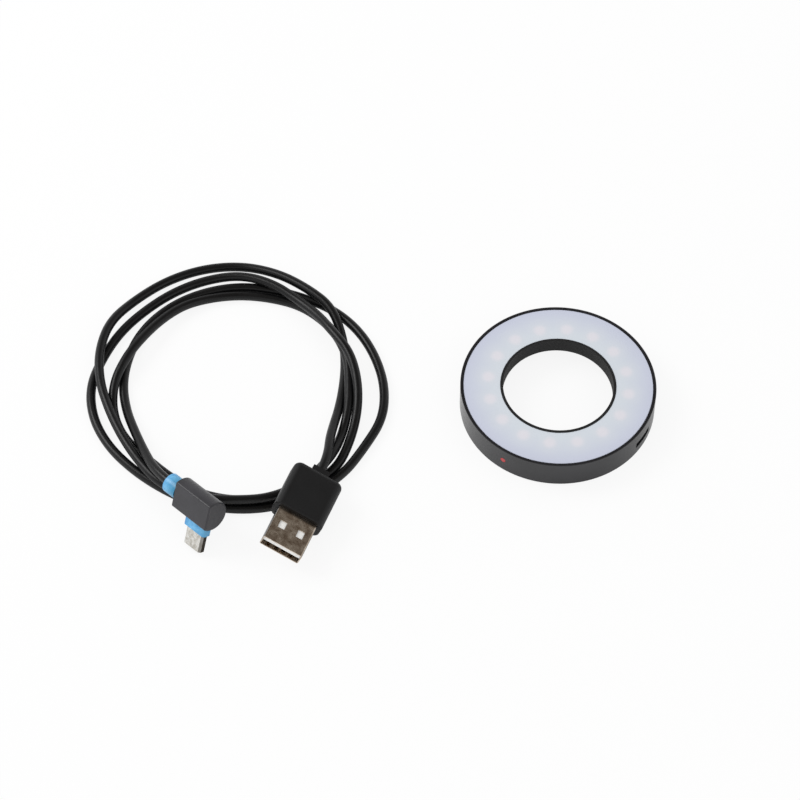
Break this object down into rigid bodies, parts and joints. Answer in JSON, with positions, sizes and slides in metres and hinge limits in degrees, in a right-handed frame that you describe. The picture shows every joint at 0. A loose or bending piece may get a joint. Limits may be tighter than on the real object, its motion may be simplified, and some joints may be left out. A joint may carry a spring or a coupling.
{
  "type": "macro led ring light",
  "caption": "Round macro LED ring light with an opal diffuser, lens recess and micro-USB socket, beside its coiled lead with a USB-A plug and a right-angle micro-USB plug.",
  "frame": {"origin": "centre of the ring's back face, on the table", "axes": "+Z along the optical axis, out of the diffuser; +X to the right in the picture; -Y towards the picture's camera"},
  "size_m": [0.1649, 0.1074, 0.017],
  "materials": {
    "housing": "satin black anodised",
    "diffuser": "opal, faintly glowing",
    "reflector": "white",
    "board": "white solder mask",
    "led_body": "white",
    "phosphor": "yellow",
    "chip": "black",
    "capacitor": "tan",
    "screw": "plain",
    "socket_steel": "plain",
    "black_insulator": "black",
    "gold_contact": "gold plated",
    "index_red": "red enamel",
    "cable": "semi-matt black",
    "overmould": "matt black",
    "plug_steel": "bright",
    "white_insulator": "white",
    "blue_insulator": "blue, slightly glossy",
    "latch_steel": "plain"
  },
  "bodies": {
    "ring_light": {"housing": "housing", "diffuser": "diffuser", "reflector": "reflector", "led_board": "board", "led_packages": "led_body", "led_phosphors": "phosphor", "led_resistors": "chip", "input_capacitor": "capacitor", "board_screws": "screw", "usb_socket_shell": "socket_steel", "usb_socket_tongue": "black_insulator", "usb_socket_contacts": "gold_contact", "index_dot": "index_red", "lead_cable": "cable", "usb_a_overmould": "overmould", "usb_a_shell": "plug_steel", "usb_a_insulator": "white_insulator", "usb_a_contacts": "gold_contact", "micro_plug_cover": "overmould", "micro_plug_core": "blue_insulator", "micro_plug_shell": "plug_steel", "micro_plug_insulator": "black_insulator", "micro_plug_contacts": "gold_contact"},
    "latch_left": {"micro_latch_left": "latch_steel"},
    "latch_right": {"micro_latch_right": "latch_steel"}
  },
  "joints": [
    {"name": "latch_left_press", "type": "hinge", "parent": "ring_light", "child": "latch_left", "pos_m": [-0.10246, -0.04574, 0.00524], "axis": [-0.6889, 0.7069, -0.1601], "range_deg": [0, 5], "stiffness_Nm_per_rad": 0.02},
    {"name": "latch_right_press", "type": "hinge", "parent": "ring_light", "child": "latch_right", "pos_m": [-0.09998, -0.04828, 0.00581], "axis": [-0.6889, 0.7069, -0.1601], "range_deg": [0, 5], "stiffness_Nm_per_rad": 0.02}
  ]
}
